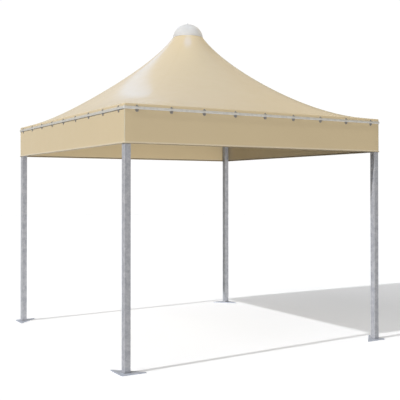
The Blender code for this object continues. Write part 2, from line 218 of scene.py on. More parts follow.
plate_zinc = galvanised(
    "galvanised_plate", (204, 209, 220), (172, 179, 194), metallic=0.2, cloud_scale=26, spangle_scale=120
)
plate_low, plate_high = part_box("front_left_base_plate")
plate_end = plate_high.x
plate_tip = plate_low.x + PLATE_TIP
corner_cut = ARC_MIDDLE * PLATE_CORNER
plate_outline = [
    (plate_low.x, plate_low.y + PLATE_CORNER),
    (plate_low.x + corner_cut, plate_low.y + corner_cut),
    (plate_low.x + PLATE_CORNER, plate_low.y),
    (plate_end, plate_low.y),
    (plate_end, plate_tip),
    (plate_tip, plate_end),
    (plate_low.x, plate_end),
]
plate = flat_plate(plate_outline, plate_low.z, plate_high.z - plate_low.z, PLATE_ROUNDING, PLATE_EDGE)
all_round(CORNERS, "foot", "base_plate", plate, plate_zinc, "galvanised_plate")

# Posts
# A 60 mm square tube with a 3 mm wall and nearly sharp corners stands on each base plate, open at
# both ends. It is welded to the plate and galvanised with it, so large cloudy patches of zinc run
# down its sides.

POST_ROUNDING = 0.0025
POST_WALL = 0.003
CORNER_STEPS = 6
FLAT_GUARD = 0.0010  # a narrow strip beside each rounding, which keeps the flats flat in the shading


def tube_outline(width, height, rounding):
    """Outline of a square tube about its middle, as (x, y, share of edge wear)."""
    points = []
    for corner in range(4):
        across = 1 if corner in (0, 3) else -1
        up = 1 if corner in (0, 1) else -1
        middle = Vector((across * (width / 2 - rounding), up * (height / 2 - rounding)))
        start = corner * math.pi / 2
        before = Vector((math.cos(start), math.sin(start)))
        after = Vector((-before.y, before.x))
        points.append((middle + before * rounding - after * FLAT_GUARD, 0))
        for step in range(CORNER_STEPS + 1):
            angle = start + step / CORNER_STEPS * math.pi / 2
            way = Vector((math.cos(angle), math.sin(angle)))
            points.append((middle + way * rounding, 1))
        points.append((middle + after * rounding - before * FLAT_GUARD, 0))
    return points


def skin(bm, rings):
    """Faces between each ring of vertices and the next."""
    for first, second in zip(rings, rings[1:]):
        for index in range(len(first)):
            following = (index + 1) % len(first)
            bm.faces.new((first[index], first[following], second[following], second[index]))


def square_tube(width, height, rounding, wall, length):
    """A tube along +Z, open at both ends, with its wear on an attribute."""
    bm = bmesh.new()
    wear = bm.verts.layers.float.new("edge")
    rings = []
    for inset, z in ((0, 0), (0, length), (wall, length), (wall, 0)):
        bend = max(rounding - inset, wall / 2)
        ring = []
        for point, share in tube_outline(width - 2 * inset, height - 2 * inset, bend):
            vert = bm.verts.new((point.x, point.y, z))
            vert[wear] = share
            ring.append(vert)
        rings.append(ring)
    skin(bm, rings + rings[:1])
    return bm


post_zinc = galvanised(
    "galvanised_steel", (189, 190, 195), (151, 154, 163), metallic=0.2, cloud_scale=20, spangle_scale=75
)
post_low, post_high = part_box("front_left_post")
post_width = post_high.x - post_low.x
post_middle = (post_low + post_high) / 2
post = square_tube(post_width, post_width, POST_ROUNDING, POST_WALL, post_high.z - plate_high.z)
bmesh.ops.translate(post, verts=post.verts, vec=(post_middle.x, post_middle.y, plate_high.z))
all_round(CORNERS, "upright", "post", post, post_zinc, "galvanised_steel", smooth_angle=40)

# Welds at the feet of the posts
# A fillet weld goes all round the foot of each post. It was laid as one bead of small overlapping
# ripples, and the zinc has run over it.

WELD_RADIUS = 0.0036
WELD_PITCH = 0.0028
WELD_STANDOFF = 0.001
RIPPLE_SIZES = (0.86, 1.12)


def geometry_tree(name, **sockets):
    """A tree with one geometry in and out, named inputs for its sizes, and one for its material."""
    tree = bpy.data.node_groups.new(name, "GeometryNodeTree")
    for label, kind in {"Geometry": "Geometry", **sockets, "Material": "Material"}.items():
        tree.interface.new_socket(label, in_out="INPUT", socket_type="NodeSocket" + kind)
    tree.interface.new_socket("Geometry", in_out="OUTPUT", socket_type="NodeSocketGeometry")
    return tree, tree.nodes.new("NodeGroupInput").outputs


def grown(obj, tree, **values):
    """Gives the object the mesh that the tree makes of it, as a plain mesh."""
    modifier = obj.modifiers.new(tree.name, "NODES")
    modifier.node_group = tree
    for socket in tree.interface.items_tree:
        if socket.in_out == "INPUT" and socket.name in values:
            modifier[socket.identifier] = values[socket.name]
    bpy.context.view_layer.update()
    graph = bpy.context.evaluated_depsgraph_get()
    mesh = bpy.data.meshes.new_from_object(obj.evaluated_get(graph))
    mesh.name = obj.name
    obj.modifiers.clear()
    obj.data = mesh


def bare_object(name, points, edges=()):
    """An object of points and edges, for a tree to work on."""
    mesh = bpy.data.meshes.new(name)
    mesh.from_pydata(points, edges, [])
    obj = bpy.data.objects.new(name, mesh)
    bpy.context.scene.collection.objects.link(obj)
    return obj


def set_out(tree, points, shape, **inputs):
    """The shape on every point, as real geometry."""
    copies = add(tree, "GeometryNodeInstanceOnPoints", Points=points, Instance=shape, **inputs)
    real = add(tree, "GeometryNodeRealizeInstances", Geometry=copies.outputs["Instances"])
    return real.outputs["Geometry"]


def ended(tree, given, geometry):
    """The tree, which ends by giving the geometry its material."""
    done = add(tree, "GeometryNodeSetMaterial", Geometry=geometry, Material=given["Material"])
    add(tree, "NodeGroupOutput", Geometry=done.outputs["Geometry"])
    return tree


def weld_bead_tree():
    """Small overlapping ripples along a path."""
    tree, given = geometry_tree("weld_bead", Pitch="Float", Radius="Float", Seed="Int")
    path = add(tree, "GeometryNodeMeshToCurve", Mesh=given["Geometry"]).outputs["Curve"]
    spaced = add(tree, "GeometryNodeResampleCurve", {"mode": "LENGTH"}, Curve=path, Length=given["Pitch"])
    ripple = add(tree, "GeometryNodeMeshIcoSphere", Radius=given["Radius"], Subdivisions=2)
    size = add(tree, "FunctionNodeRandomValue", {"data_type": "FLOAT_VECTOR"}, Seed=given["Seed"])
    for bound, share in zip(("Min", "Max"), RIPPLE_SIZES):
        size.inputs[bound].default_value = (share, share, share)
    bead = set_out(tree, spaced.outputs["Curve"], ripple.outputs["Mesh"], Scale=size.outputs["Value"])
    smooth = add(tree, "GeometryNodeSetShadeSmooth", Geometry=bead)
    return ended(tree, given, smooth.outputs["Geometry"])


weld_zinc = galvanised(
    "galvanised_weld", (178, 180, 184), (146, 148, 152), metallic=0.45, cloud_scale=60, spangle_scale=300
)
weld_tree = weld_bead_tree()
weld_width = post_width + 2 * WELD_STANDOFF
weld_path = [point for point, _ in tube_outline(weld_width, weld_width, POST_ROUNDING + WELD_STANDOFF)]
weld_ring = [(index, (index + 1) % len(weld_path)) for index in range(len(weld_path))]
for seed, (corner, turn) in enumerate(CORNERS.items(), start=1):
    spin = Matrix.Rotation(math.radians(turn), 4, "Z")
    points = [spin @ Vector((post_middle.x + p.x, post_middle.y + p.y, plate_high.z)) for p in weld_path]
    weld = bare_object(f"{corner}_foot_weld", points, weld_ring)
    grown(weld, weld_tree, Pitch=WELD_PITCH, Radius=WELD_RADIUS, Seed=seed, Material=weld_zinc)
    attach(weld, "root")

# Beams, corner gussets, diagonal arms and hub
# Four rectangular tubes between the posts carry the edge of the cover. A flat gusset under each
# corner takes two beams and a diagonal arm, and two square plates clamp the four arms in the middle.
# All of it is galvanised tube and plate, out of sight from outside.

SIDES = {"front": 0, "right": 90, "back": 180, "left": 270}
FRONT_LEFT_WAY = 225
FIT_GAP = 0.0003
FRAME_WALL = 0.002
FRAME_ROUNDING = 0.004
GUSSET_ROUNDING = 0.0015
HUB_ROUNDING = 0.006
CUT_EDGE = 0.0006


def lying_tube(height, depth, length, start):
    """A tube of the frame, laid along +X from the middle of its starting end."""
    bm = square_tube(height, depth, FRAME_ROUNDING, FRAME_WALL, length)
    bmesh.ops.rotate(bm, verts=bm.verts, cent=(0, 0, 0), matrix=Matrix.Rotation(math.pi / 2, 3, "Y"))
    bmesh.ops.translate(bm, verts=bm.verts, vec=start)
    return bm


tube_zinc = galvanised(
    "galvanised_tube", (192, 194, 197), (158, 161, 167), metallic=0.4, cloud_scale=17, spangle_scale=90
)
beam_low, beam_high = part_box("front_beam")
beam_size = beam_high - beam_low
beam_middle = (beam_low + beam_high) / 2
beam_start = (beam_low.x, beam_middle.y, beam_middle.z)
beam = lying_tube(beam_size.z, beam_size.y, beam_size.x, beam_start)
all_round(SIDES, "crossbeam", "beam", beam, tube_zinc, "frame_steel", smooth_angle=40)

hub_low, hub_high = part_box("hub_plate_upper")
under_low, under_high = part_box("hub_plate_lower")
arm_size = hub_low.z - under_high.z - 2 * FIT_GAP
arm_start = (arm_size / 2 + 2 * FIT_GAP, 0, (hub_low.z + under_high.z) / 2)
arm_length = (abs(post_high.x) - 2 * FIT_GAP) * math.sqrt(2) - arm_start[0]
arm = lying_tube(arm_size, arm_size, arm_length, arm_start)
turn_about_z(arm, FRONT_LEFT_WAY)
all_round(CORNERS, "diagonal", "arm", arm, tube_zinc, "frame_steel", smooth_angle=40)

gusset_low, gusset_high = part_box("front_left_gusset")
notch = post_high.x + FIT_GAP
gusset_outline = [
    (notch, notch),
    (notch, gusset_low.y),
    (gusset_high.x, gusset_low.y),
    (gusset_low.x, gusset_high.y),
    (gusset_low.x, notch),
]
gusset = flat_plate(gusset_outline, gusset_low.z, gusset_high.z - gusset_low.z, GUSSET_ROUNDING, CUT_EDGE)
all_round(CORNERS, "corner_plate", "gusset", gusset, plate_zinc, "galvanised_plate")

for node, low, high in (("hub_plate_upper", hub_low, hub_high), ("hub_plate_lower", under_low, under_high)):
    square = [(low.x, low.y), (high.x, low.y), (high.x, high.y), (low.x, high.y)]
    plate = flat_plate(square, low.z, high.z - low.z, HUB_ROUNDING, CUT_EDGE)
    piece(node.replace("hub_plate", "hub_clamp"), plate, plate_zinc, "galvanised_plate", node)

# Mast, tensioning nut and peak ring
# A round tube stands on the hub, bolted down by its flange. A thinner tube slides in it, and a nut
# with two lugs on the joint jacks it up, which tensions the cover. On its top sits a ring of bent
# round tube with four straight spokes, welded to a turned boss.

MAST_RADIUS = 0.025
MAST_WALL = 0.003
FLANGE = 0.008
FLANGE_CHAMFER = 0.001
FILLET = 0.005
FILLET_MIDDLE = 0.0015
COLLAR_RADIUS = 0.034
COLLAR_CHAMFER = 0.002
LUG_LENGTH = 0.060
LUG_WIDTH = 0.014
LUG_ROOT = 0.004
LUG_ROUNDING = 0.0015
SPOKE_WIDTH = 0.016
SPOKE_HEIGHT = 0.012
SPOKE_ROOT = 0.002
SPOKE_DROP = 0.0003
RING_TUBE = 0.012
RING_SIDES = 24
BOSS_RADIUS = 0.030
BOSS_CHAMFER = 0.003
BOSS_TOP = 0.010


def turned(profile, steps=64, closed=True):
    """The profile of (radius, height) points turned once about Z."""
    bm = bmesh.new()
    verts = [bm.verts.new((radius, 0, height)) for radius, height in profile]
    pairs = list(zip(verts, verts[1:]))
    if closed:
        pairs.append((verts[-1], verts[0]))
    edges = [bm.edges.new(pair) for pair in pairs]
    bmesh.ops.spin(bm, geom=verts + edges, cent=(0, 0, 0), axis=(0, 0, 1), angle=2 * math.pi, steps=steps)
    bmesh.ops.remove_doubles(bm, verts=bm.verts, dist=1e-6)
    return bm


def box_between(bm, low, high, turn=0):
    """A bar with its corners at low and high, turned about Z."""
    made = bmesh.ops.create_cube(bm, size=1)["verts"]
    low, high = Vector(low), Vector(high)
    size = Matrix.Diagonal((high - low).to_4d())
    size[3][3] = 1
    place = Matrix.Rotation(math.radians(turn), 4, "Z") @ Matrix.Translation((low + high) / 2) @ size
    bmesh.ops.transform(bm, matrix=place, verts=made)


def arc(radius, level, steps, start=0, end=2 * math.pi):
    """(across, up) points from angle to angle about a centre at this level."""
    angles = [start + (end - start) * step / steps for step in range(steps + 1)]
    return [(radius * math.cos(angle), level + radius * math.sin(angle)) for angle in angles]


def hazed(name, metallic, scale, tones, rough, bump, **sockets):
    """A finish with a fine haze in its tone, its roughness and its relief."""
    made, tree, shader = finish(name, metallic, **sockets)
    haze = noise(tree, add(tree, "ShaderNodeTexCoord").outputs["Object"], scale, 4)
    dress(tree, shader, blended(tree, haze, *tones), ranged(tree, haze, *rough), relief(tree, haze, *bump))
    return made


zinc_hardware = hazed(
    "zinc_hardware",
    metallic=0.75,
    scale=55,
    tones=((176, 177, 180), (214, 214, 214)),
    rough=(0.3, 0.7, 0.24, 0.40),
    bump=(0.2, 0.0001),
)

mast_low, mast_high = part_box("mast_lower")
flange_radius = mast_high.x
flange_top = mast_low.z + FLANGE
mast_profile = [
    (MAST_RADIUS - MAST_WALL, mast_low.z),
    (flange_radius, mast_low.z),
    (flange_radius, flange_top - FLANGE_CHAMFER),
    (flange_radius - FLANGE_CHAMFER, flange_top),
    (MAST_RADIUS + FILLET, flange_top),
    (MAST_RADIUS + FILLET_MIDDLE, flange_top + FILLET_MIDDLE),
    (MAST_RADIUS, flange_top + FILLET),
    (MAST_RADIUS, mast_high.z),
    (MAST_RADIUS - MAST_WALL, mast_high.z),
]
piece("lower_mast", turned(mast_profile), tube_zinc, "frame_steel", "mast_lower", smooth_angle=32)

inner_low, inner_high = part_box("mast_upper")
slide_radius = inner_high.x
slide_profile = [
    (slide_radius - MAST_WALL, inner_low.z),
    (slide_radius, inner_low.z),
    (slide_radius, inner_high.z),
    (slide_radius - MAST_WALL, inner_high.z),
]
piece("upper_mast", turned(slide_profile), tube_zinc, "frame_steel", "mast_upper", smooth_angle=32)

collar_low, collar_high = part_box("mast_collar")
bore = slide_radius + FIT_GAP
collar_profile = [
    (bore, collar_low.z),
    (COLLAR_RADIUS - COLLAR_CHAMFER, collar_low.z),
    (COLLAR_RADIUS, collar_low.z + COLLAR_CHAMFER),
    (COLLAR_RADIUS, collar_high.z - COLLAR_CHAMFER),
    (COLLAR_RADIUS - COLLAR_CHAMFER, collar_high.z),
    (bore, collar_high.z),
]
nut = turned(collar_profile)
lug_middle = (collar_low.z + collar_high.z) / 2
for turn in (0, 180):
    lug_low = (COLLAR_RADIUS - LUG_ROOT, -LUG_WIDTH / 2, lug_middle - LUG_WIDTH / 2)
    lug_high = (LUG_LENGTH, LUG_WIDTH / 2, lug_middle + LUG_WIDTH / 2)
    box_between(nut, lug_low, lug_high, turn)
clear_of_nut = COLLAR_RADIUS + 0.001
lug_edges = [e for e in nut.edges if all(v.co.xy.length > clear_of_nut for v in e.verts)]
bmesh.ops.bevel(nut, geom=lug_edges, offset=LUG_ROUNDING, segments=2, profile=0.5, affect="EDGES")
piece("tension_nut", nut, zinc_hardware, "zinc_hardware", "mast_collar", smooth_angle=32)

ring_low, ring_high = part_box("peak_ring")
ring_radius = ring_high.x - RING_TUBE
ring_middle = ring_high.z - RING_TUBE
boss_high = ring_middle + SPOKE_HEIGHT / 2
boss_low = ring_low.z
ring_section = [(ring_radius + out, up) for out, up in arc(RING_TUBE, ring_middle, RING_SIDES)[:-1]]
boss_profile = [
    (0, boss_high),
    (BOSS_RADIUS - BOSS_CHAMFER, boss_high),
    (BOSS_RADIUS, boss_high - BOSS_CHAMFER),
    (BOSS_RADIUS, boss_low + BOSS_CHAMFER),
    (BOSS_RADIUS - BOSS_CHAMFER, boss_low),
    (bore, boss_low),
    (bore, boss_high - BOSS_TOP),
    (0, boss_high - BOSS_TOP),
]
ring = bmesh.new()
for part in (turned(ring_section, steps=96), turned(boss_profile, closed=False)):
    joined = bpy.data.meshes.new("ring_part")
    part.to_mesh(joined)
    part.free()
    ring.from_mesh(joined)
    bpy.data.meshes.remove(joined)
spoke_middle = ring_middle - SPOKE_DROP
for turn in (0, 90, 180, 270):
    spoke_low = (BOSS_RADIUS - SPOKE_ROOT, -SPOKE_WIDTH / 2, spoke_middle - SPOKE_HEIGHT / 2)
    spoke_high = (ring_radius, SPOKE_WIDTH / 2, spoke_middle + SPOKE_HEIGHT / 2)
    box_between(ring, spoke_low, spoke_high, turn)
piece("peak_frame", ring, tube_zinc, "frame_steel", "peak_ring", smooth_angle=32)

# Bolts
# Hexagon bolts with washers hold the gussets to the beams and arms, the hub plates to each other
# and the mast's flange to the hub. They are zinc-plated.

BOLT_HALF_WIDTH = 0.0095
BOLT_HEAD = 0.0055
BOLT_CHAMFER = 0.001
BOLT_TOP = 0.86  # width of the head's flat top, as a share of its full width
WASHER_RADIUS = 0.012
WASHER_THICKNESS = 0.0016
WASHER_SIDES = 24
BEAM_BOLTS = (0.030, 0.085)
ARM_BOLT = 0.020
HUB_BOLT_OUT = 0.075
HUB_BOLT_ASIDE = 0.025
FLANGE_BOLT = 0.040


def bolt_head():
    """A washer and a chamfered hexagon head on it, standing on z = 0."""
    bm = bmesh.new()
    top = WASHER_THICKNESS + BOLT_HEAD
    outer = BOLT_HALF_WIDTH / math.cos(math.pi / 6)
    washer = ((WASHER_RADIUS, 0), (WASHER_RADIUS, WASHER_THICKNESS))
    hexagon = ((outer, WASHER_THICKNESS), (outer, top - BOLT_CHAMFER), (outer * BOLT_TOP, top))
    for sides, levels in ((WASHER_SIDES, washer), (6, hexagon)):
        rings = []
        for radius, height in levels:
            rings.append([bm.verts.new((x, y, height)) for x, y in arc(radius, 0, sides)[:-1]])
        skin(bm, rings)
        bm.faces.new(rings[0])
        bm.faces.new(rings[-1])
    return bm


def four_times(tree, geometry):
    """The geometry and three copies, each turned a quarter further about Z."""
    joined = tree.nodes.new("GeometryNodeJoinGeometry")
    for quarter in range(4):
        copy = add(tree, "GeometryNodeTransform", Geometry=geometry)
        copy.inputs["Rotation"].default_value = (0, 0, quarter * math.pi / 2)
        tree.links.new(copy.outputs["Geometry"], joined.inputs["Geometry"])
    return joined.outputs["Geometry"]


def bolt_set_tree():
    """The head object on every point, turned over if it is asked, and the whole set four times round."""
    tree, given = geometry_tree("bolt_set", Head="Object", Turned_Over="Float")
    head = add(tree, "GeometryNodeObjectInfo", Object=given["Head"]).outputs["Geometry"]
    tilt = add(tree, "ShaderNodeCombineXYZ", X=given["Turned_Over"]).outputs["Vector"]
    bolts = set_out(tree, given["Geometry"], head, Rotation=tilt)
    return ended(tree, given, four_times(tree, bolts))


head = placed("bolt_pattern", bolt_head(), zinc_hardware)
bolt_tree = bolt_set_tree()
along_beam = [notch + distance for distance in BEAM_BOLTS]
gusset_bolts = [(x, beam_middle.y, gusset_low.z) for x in along_beam]
gusset_bolts += [(beam_middle.y, y, gusset_low.z) for y in along_beam]
gusset_bolts.append((notch + ARM_BOLT, notch + ARM_BOLT, gusset_low.z))
hub_places = ((HUB_BOLT_OUT, HUB_BOLT_ASIDE), (HUB_BOLT_OUT, -HUB_BOLT_ASIDE))
for name, points, over in (
    ("gusset_bolts", gusset_bolts, math.pi),
    ("hub_bolts", [(x, y, under_low.z) for x, y in hub_places], math.pi),
    ("hub_top_bolts", [(x, y, hub_high.z) for x, y in hub_places], 0),
    ("flange_bolts", [(FLANGE_BOLT, 0, flange_top)], 0),
):
    bolts = bare_object(name, points)
    grown(bolts, bolt_tree, Head=head, Turned_Over=over, Material=zinc_hardware)
    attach(bolts, "root")
bpy.data.objects.remove(head, do_unlink=True)

# Cover
# One piece of cloth: polyester woven fine and coated smooth on both sides, beige and satin. It is
# cut as four panels, welded along the hips, drawn up square at the edge and round at the peak, and
# it hangs straight down all round as a valance with a cord in its hem.

HALF = 1.500
COVER_EDGE = 2.355
HEADROOM = 2.000
ROOF_FLARE = 0.1486
ROOF_RISE = 0.7504
ROOF_HOLE = 0.158
CORNER_RADIUS = 0.007
# width of the painted sheen, a greyish painted highlight down each rounded corner of the valance
CORNER_SHEEN = 0.006
FOLD = 0.008
HEM_CORD = 0.006
HEM_LAP = 0.016
HEM_LIP = 0.0062
HEM_ANGLES = (62, 35, 8, -20, -50, -80, -110, -140, -170, -200)
# the painted shade on the downward face of the hem's cord starts at this one of the angles
SHADED_UNDERSIDE = 3  # which of these angles the underside of the hem's cord starts at
LAP_INSET = 0.0013
HIP_WELD = 0.016
HEM_WELD = 0.030
# how far above the hem's lip the painted highlight along the top of the cord begins
CORD_SHEEN_TOP = 0.008
THREAD = 0.0011
CLOTH = 0.0006
PANEL_COLUMNS = 56
HIP_COLUMNS = 4
ROOF_ROWS = 48
FOLD_ROWS = 4
VALANCE_ROWS = 7
PANEL_SHIFT = 3.2  # between the panels on the cloth's map


def roof_height(x, y):
    """Height of the cover: square at the edge, round at the peak."""
    squareness = (1 - (x / HALF) ** 2) * (1 - (y / HALF) ** 2)
    reach = math.sqrt(max(1 - squareness, 1e-9))
    return COVER_EDGE - ROOF_FLARE * math.log(reach) + ROOF_RISE * (1 - reach)


def half_bend(x, y, radius, start, steps):
    """An eighth of a turn about (x, y) from an angle, as (x, y, outward x, outward y)."""
    points = []
    for step in range(steps + 1):
        angle = math.radians(start + 45 * step / steps)
        out_x, out_y = math.cos(angle), math.sin(angle)
        points.append((x + radius * out_x, y + radius * out_y, out_x, out_y))
    return points


def edge_of_front():
    """Points along the edge of the front from hip to hip, as (x, y, outward x, outward y)."""
    straight = HALF - CORNER_RADIUS
    points = half_bend(-straight, -straight, CORNER_RADIUS, 225, HIP_COLUMNS)[:-1]
    for step in range(PANEL_COLUMNS + 1):
        x = straight * math.tan(math.radians(-45 + 90 * step / PANEL_COLUMNS))
        points.append((x, -HALF, 0, -1))
    return points + half_bend(straight, -straight, CORNER_RADIUS, 270, HIP_COLUMNS)[1:]


def cloth_column(x, y, out_x, out_y):
    """Points of the cover from its open middle down to the lap behind the hem's cord."""
    start = ROOF_HOLE / math.hypot(x, y)
    share = 1 - FOLD / HALF
    points = []
    for row in range(ROOF_ROWS + 1):
        t = start * (share / start) ** (row / ROOF_ROWS)
        points.append(Vector((x * t, y * t, roof_height(x * t, y * t))))
    last = points[-1].copy()
    crease = Vector((x, y, COVER_EDGE))
    below = Vector((x, y, COVER_EDGE - FOLD))
    for row in range(1, FOLD_ROWS + 1):
        t = row / FOLD_ROWS
        points.append(last * (1 - t) ** 2 + crease * (2 * t * (1 - t)) + below * t**2)
    outward = Vector((out_x, out_y, 0))
    cord = Vector((x, y, HEADROOM + HEM_CORD)) + outward * (HEM_CORD / 3)
    lip = HEADROOM + HEM_CORD + HEM_LIP
    for row in range(1, VALANCE_ROWS + 1):
        points.append(Vector((x, y, below.z + (lip - below.z) * row / VALANCE_ROWS)))
    for angle in HEM_ANGLES:
        turn = math.radians(angle)
        out = outward * (HEM_CORD * math.cos(turn))
        points.append(cord + out + Vector((0, 0, HEM_CORD * math.sin(turn))))
    points.append(Vector((x, y, HEADROOM + HEM_LAP)) - outward * LAP_INSET)
    return points


def run_lengths(points):
    """How far along the points each of them lies."""
    lengths = [0]
    for first, second in zip(points, points[1:]):
        lengths.append(lengths[-1] + math.dist(first, second))
    return lengths


def cover_mesh():
    """The whole cover as one sheet, and how far down the middle of a side each of its rows lies."""
    bm = bmesh.new()
    uv = bm.loops.layers.uv.new("cloth")
    seam = bm.verts.layers.float.new("seam")
    panels = []
    for turn in SIDES.values():
        spin = Matrix.Rotation(math.radians(turn), 3, "Z")
        panel = []
        for place in edge_of_front()[:-1]:
            column = []
            for point in cloth_column(*place):
                vert = bm.verts.new(spin @ point)
                vert[seam] = abs(abs(point.x) - abs(point.y)) / math.sqrt(2)
                column.append(vert)
            panel.append(column)
        panels.append(panel)
    depth = run_lengths(cloth_column(0, -HALF, 0, -1))
    for index, turn in enumerate(SIDES.values()):
        back = Matrix.Rotation(math.radians(-turn), 3, "Z")
        run = panels[index] + [panels[(index + 1) % 4][0]]
        for first, second in zip(run, run[1:]):
            for row in range(len(first) - 1):
                face = bm.faces.new((first[row], first[row + 1], second[row + 1], second[row]))
                for loop, level in zip(face.loops, (row, row + 1, row + 1, row)):
                    loop[uv].uv = ((back @ loop.vert.co).x + PANEL_SHIFT * index, -depth[level])
    return bm, depth


def fallen_past(tree, value, level, soft, most=1):
    """A share that rises from 0 to most as the value falls past the level, over a soft edge."""
    return ranged(tree, value, level + soft, level - soft, 0, most)


def cover_cloth(edge_depth, hem_depth, cord_sheen_depth, shade_depth):
    """Coated cloth, with painted sheen on the valance's corners and the hem cord's top, and painted shade
    under the cord. The depths run down the cover to its edge, hem weld, cord's painted sheen and cord's
    shaded underside.
    """
    made, tree, shader = finish(
        "cover_cloth", 0, Specular_IOR_Level=0.2, Coat_Weight=1.0, Coat_Roughness=0.16, Coat_IOR=1.6
    )
    place = add(tree, "ShaderNodeTexCoord").outputs["Object"]
    on_cloth = add(tree, "ShaderNodeUVMap", {"uv_map": "cloth"}).outputs["UV"]
    bands = {"Vector": on_cloth, "Scale": 2 * math.pi / 20 / THREAD, "Distortion": 0}
    warp = add(tree, "ShaderNodeTexWave", {"bands_direction": "X"}, **bands).outputs["Fac"]
    weft = add(tree, "ShaderNodeTexWave", {"bands_direction": "Y"}, **bands).outputs["Fac"]
    weave = times(tree, warp, weft)
    cloud = noise(tree, place, 1.6, 3)
    plain = blended(tree, cloud, (209, 190, 153), (215, 196, 159))
    woven = blended(tree, times(tree, weave, 0.10), plain, (178, 157, 117))

    hips = add(tree, "ShaderNodeAttribute", {"attribute_name": "seam"}).outputs["Fac"]
    across = add(tree, "ShaderNodeSeparateXYZ", Vector=on_cloth).outputs["Y"]
    on_seam = fallen_past(tree, hips, HIP_WELD, 0.0005)
    welded = blended(tree, times(tree, on_seam, 0.05), woven, (196, 174, 131))
    hem_line = fallen_past(tree, across, -hem_depth - 0.0015, 0.0015)
    hemmed = blended(tree, times(tree, hem_line, 0.04), welded, (196, 175, 132))
    # Painted sheen: a greyish painted highlight down the rounded corners of the valance, for the light they
    # catch.
    corner_sheen_band = fallen_past(tree, hips, CORNER_SHEEN, 0.001, 0.6)
    low_corner_sheen = times(tree, corner_sheen_band, fallen_past(tree, across, -edge_depth, 0.004))
    sheened_corner_tone = blended(tree, low_corner_sheen, hemmed, (190, 186, 168))
    # Painted highlight: a pale band along the top of the hem's cord, for the light it catches.
    cord_sheen_band = fallen_past(tree, across, -cord_sheen_depth + 0.001, 0.001, 0.8)
    sheened_cord_tone = blended(tree, cord_sheen_band, sheened_corner_tone, (212, 200, 175))
    # Painted shade: the downward face of the hem's cord is painted dark.
    painted_shade_under_cord = fallen_past(tree, across, -shade_depth, 0.001)
    tone = blended(tree, painted_shade_under_cord, sheened_cord_tone, (146, 130, 100))

    rough = ranged(tree, noise(tree, place, 9, 4), 0.3, 0.7, 0.46, 0.58)
    threads = calculated(tree, "MULTIPLY_ADD", noise(tree, on_cloth, 700, 1), 0.5, weave)
    grain = relief(tree, threads, 0.30, 0.00012)
    welds = relief(tree, calculated(tree, "ADD", on_seam, hem_line), 0.3, 0.0004, grain)
    taut = relief(tree, noise(tree, place, 2.4, 2, Roughness=0.4), 0.5, 0.004, welds)
    dress(tree, shader, tone, rough, taut)
    return made


cloth_bm, depth = cover_mesh()
crease_row = ROOF_ROWS + FOLD_ROWS
lip_row = crease_row + VALANCE_ROWS
beige = cover_cloth(
    edge_depth=depth[crease_row],
    hem_depth=depth[lip_row] - HEM_WELD,
    cord_sheen_depth=depth[lip_row] - CORD_SHEEN_TOP,
    shade_depth=depth[lip_row + SHADED_UNDERSIDE],
)
cover_nodes = [f"{side}_{part}" for side in SIDES for part in ("roof_panel", "valance")]
cover = piece("cover", cloth_bm, beige, "cover_cloth", *cover_nodes, smooth_angle=60)
wall = cover.modifiers.new("cloth_thickness", "SOLIDIFY")
wall.thickness = CLOTH
wall.offset = -1

# Edge rail
# A bright zinc-plated flat bar of 25 x 3 mm goes all round the outside just under the edge of the
# cover. It stands 6 mm off the cloth, its long edges are rounded by rolling, and it is bent cold
# round the four corners.

RAIL_LEVEL = 2.316
RAIL_HEIGHT = 0.025
RAIL_THICKNESS = 0.003
RAIL_STANDOFF = 0.006
RAIL_EDGE = 0.0011
RAIL_BEND = 0.0145
BEND_STEPS = 6
ROLLED_GRAIN = (1400, 18, 1)
BLOOM_RANGE = (0.15, 0.38)


def bar_outline():
    """(outward, upward) points of the bar's section about its middle."""
    points = []
    for across, up, start in ((1, 1, 0), (-1, 1, 90), (-1, -1, 180), (1, -1, 270)):
        for step in range(3):
            angle = math.radians(start + 45 * step)
            out = across * (RAIL_THICKNESS / 2 - RAIL_EDGE) + RAIL_EDGE * math.cos(angle)
            rise = up * (RAIL_HEIGHT / 2 - RAIL_EDGE) + RAIL_EDGE * math.sin(angle)
            points.append((out, rise))
    return points


def rail_bar():
    """The front rail, from the middle of one corner bend to the middle of the next."""
    bm = bmesh.new()
    uv = bm.loops.layers.uv.new("along")
    axis = HALF + RAIL_STANDOFF + RAIL_THICKNESS / 2
    straight = axis - RAIL_BEND
    route = half_bend(-straight, -straight, RAIL_BEND, 225, BEND_STEPS)
    route += [(x, -axis, 0, -1) for x in (-HALF / 2, 0, HALF / 2)]
    route += half_bend(straight, -straight, RAIL_BEND, 270, BEND_STEPS)
    section = bar_outline()
    girth = run_lengths(section + section[:1])
    lengths = run_lengths([station[:2] for station in route])
    rings = []
    for x, y, out_x, out_y in route:
        ring = []
        for across, up in section:
            ring.append(bm.verts.new((x + out_x * across, y + out_y * across, RAIL_LEVEL + up)))
        rings.append(ring)
    for index, (first, second) in enumerate(zip(rings, rings[1:])):
        for step in range(len(section)):
            following = (step + 1) % len(section)
            face = bm.faces.new((first[step], first[following], second[following], second[step]))
            spots = ((step, index), (step + 1, index), (step + 1, index + 1), (step, index + 1))
            for loop, (round_bar, along) in zip(face.loops, spots):
                loop[uv].uv = (girth[round_bar], lengths[along])
    bm.faces.new(rings[0])
    bm.faces.new(rings[-1])
    return bm


